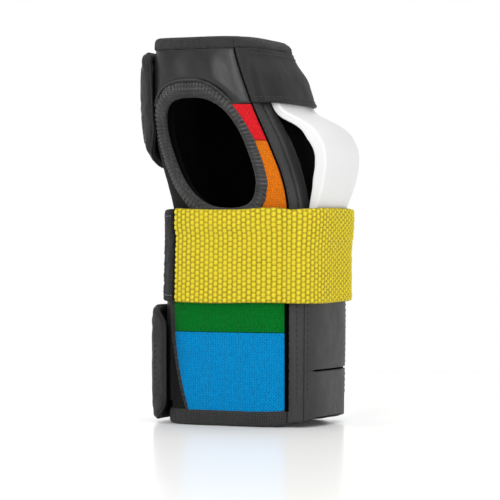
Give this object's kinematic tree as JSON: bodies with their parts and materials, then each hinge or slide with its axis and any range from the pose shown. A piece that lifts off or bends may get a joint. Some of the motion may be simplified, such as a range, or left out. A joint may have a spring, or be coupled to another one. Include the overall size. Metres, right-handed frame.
{
  "type": "wrist guard",
  "caption": "Left-hand wrist guard: padded sleeve with a thumb hole, an arched palm splint, a broad wrist strap and hook-and-loop flaps.",
  "frame": {"origin": "middle of the outline at the bottom of the forearm hem", "axes": "+Z towards the fingers, +X out of the palm, -Y towards the thumb"},
  "size_m": [0.112, 0.0748, 0.204],
  "materials": {
    "leatherette_grey": "smooth grained leatherette",
    "crown_grey": "soft satin leatherette",
    "hem_grey": "brushed knit binding",
    "canvas_red": "woven canvas",
    "canvas_orange": "woven canvas",
    "canvas_green": "woven canvas",
    "canvas_blue": "woven canvas",
    "webbing_yellow": "coarse ribbed webbing",
    "binding_knit": "ribbed knit",
    "lining_black": "brushed lining",
    "foam_grey": "closed-cell padding",
    "splint_white": "smooth moulded plastic",
    "splint_black": "moulded plastic",
    "tape_black": "hook and loop tape"
  },
  "bodies": {
    "sleeve": {"liner": "lining_black", "foam_core": "foam_grey", "forearm_hem": "hem_grey", "hand_hem": "hem_grey", "palm_panel_lower": "lining_black", "palm_panel_upper": "lining_black", "wrist_panel": "lining_black", "radial_panel_blue": "canvas_blue", "ulnar_panel_blue": "canvas_blue", "radial_panel_green": "canvas_green", "ulnar_panel_green": "canvas_green", "radial_panel_orange": "canvas_orange", "ulnar_panel_orange": "canvas_orange", "radial_panel_red": "canvas_red", "ulnar_panel_red": "canvas_red", "radial_crown_panel": "crown_grey", "ulnar_crown_panel": "crown_grey", "dorsal_panel_forearm": "lining_black", "dorsal_panel_wrist": "lining_black", "dorsal_panel_hand": "lining_black", "thumb_binding": "binding_knit", "radial_edge_binding": "hem_grey", "palm_cover_heel": "leatherette_grey", "palm_cover_wrist": "leatherette_grey", "palm_pocket_hand": "leatherette_grey", "radial_welt_lower": "hem_grey", "radial_welt_upper": "hem_grey", "ulnar_welt_lower": "hem_grey", "ulnar_welt_upper": "hem_grey", "palm_splint": "splint_white", "dorsal_splint": "splint_black", "dorsal_cover": "leatherette_grey", "forearm_loop_patch": "tape_black", "wrist_loop_patch": "tape_black", "hand_loop_patch": "tape_black", "wrist_strap": "webbing_yellow"},
    "strap_end": {"strap_tail": "webbing_yellow", "strap_tab": "tape_black", "strap_hook_patch": "tape_black"},
    "forearm_closure": {"forearm_flap": "hem_grey", "forearm_hook_patch": "tape_black"},
    "hand_closure": {"hand_flap": "hem_grey", "hand_hook_patch": "tape_black"}
  },
  "joints": [
    {"name": "strap_tail_hinge", "type": "hinge", "parent": "sleeve", "child": "strap_end", "pos_m": [-0.03067, 0.03367, 0.089], "axis": [0, 0, -1], "range_deg": [0, 120]},
    {"name": "forearm_flap_hinge", "type": "hinge", "parent": "sleeve", "child": "forearm_closure", "pos_m": [-0.03124, 0.0345, 0.033], "axis": [0, 0, -1], "range_deg": [0, 115]},
    {"name": "hand_flap_hinge", "type": "hinge", "parent": "sleeve", "child": "hand_closure", "pos_m": [-0.03946, 0.03416, 0.1655], "axis": [0.1194, 0.0107, -0.9928], "range_deg": [0, 115]}
  ]
}
